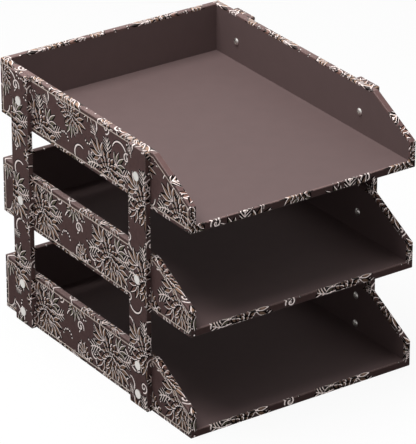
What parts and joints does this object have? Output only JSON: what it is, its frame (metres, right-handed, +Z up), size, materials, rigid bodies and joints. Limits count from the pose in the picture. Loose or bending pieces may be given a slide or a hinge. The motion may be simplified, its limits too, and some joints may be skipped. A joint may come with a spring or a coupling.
{
  "type": "three-tier letter tray",
  "caption": "Tiered letter tray: open-front board trays with sloping sides, wrapped in floral print, one above another on flat screwed posts.",
  "frame": {"origin": "centre of the underside, on the surface that the part stands on", "axes": "+Z up, -Y towards the open front, +X to the right seen from the front"},
  "size_m": [0.2906, 0.352, 0.29],
  "materials": {
    "printed_cover": "matte",
    "plain_lining": "matte",
    "core_board": "matte",
    "plated_steel": "polished"
  },
  "bodies": {
    "root": {"bottom_tray_back_board": "core_board", "bottom_tray_back_facing": "printed_cover", "bottom_tray_back_lining": "plain_lining", "bottom_tray_base_board": "core_board", "bottom_tray_floor_lining": "plain_lining", "bottom_tray_left_board": "core_board", "bottom_tray_left_facing": "printed_cover", "bottom_tray_left_lining": "plain_lining", "bottom_tray_printed_cover": "printed_cover", "bottom_tray_right_board": "core_board", "bottom_tray_right_facing": "printed_cover", "bottom_tray_right_lining": "plain_lining", "bottom_tray_under_sheet": "plain_lining", "front_left_barrel_nuts": "plated_steel", "front_left_post_board": "core_board", "front_left_post_cover": "printed_cover", "front_left_screws": "plated_steel", "front_right_barrel_nuts": "plated_steel", "front_right_post_board": "core_board", "front_right_post_cover": "printed_cover", "front_right_screws": "plated_steel", "middle_tray_back_board": "core_board", "middle_tray_back_facing": "printed_cover", "middle_tray_back_lining": "plain_lining", "middle_tray_base_board": "core_board", "middle_tray_floor_lining": "plain_lining", "middle_tray_left_board": "core_board", "middle_tray_left_facing": "printed_cover", "middle_tray_left_lining": "plain_lining", "middle_tray_printed_cover": "printed_cover", "middle_tray_right_board": "core_board", "middle_tray_right_facing": "printed_cover", "middle_tray_right_lining": "plain_lining", "middle_tray_under_sheet": "plain_lining", "rear_left_barrel_nuts": "plated_steel", "rear_left_post_board": "core_board", "rear_left_post_cover": "printed_cover", "rear_left_screws": "plated_steel", "rear_right_barrel_nuts": "plated_steel", "rear_right_post_board": "core_board", "rear_right_post_cover": "printed_cover", "rear_right_screws": "plated_steel", "top_tray_back_board": "core_board", "top_tray_back_facing": "printed_cover", "top_tray_back_lining": "plain_lining", "top_tray_base_board": "core_board", "top_tray_floor_lining": "plain_lining", "top_tray_left_board": "core_board", "top_tray_left_facing": "printed_cover", "top_tray_left_lining": "plain_lining", "top_tray_printed_cover": "printed_cover", "top_tray_right_board": "core_board", "top_tray_right_facing": "printed_cover", "top_tray_right_lining": "plain_lining", "top_tray_under_sheet": "plain_lining"}
  },
  "joints": []
}
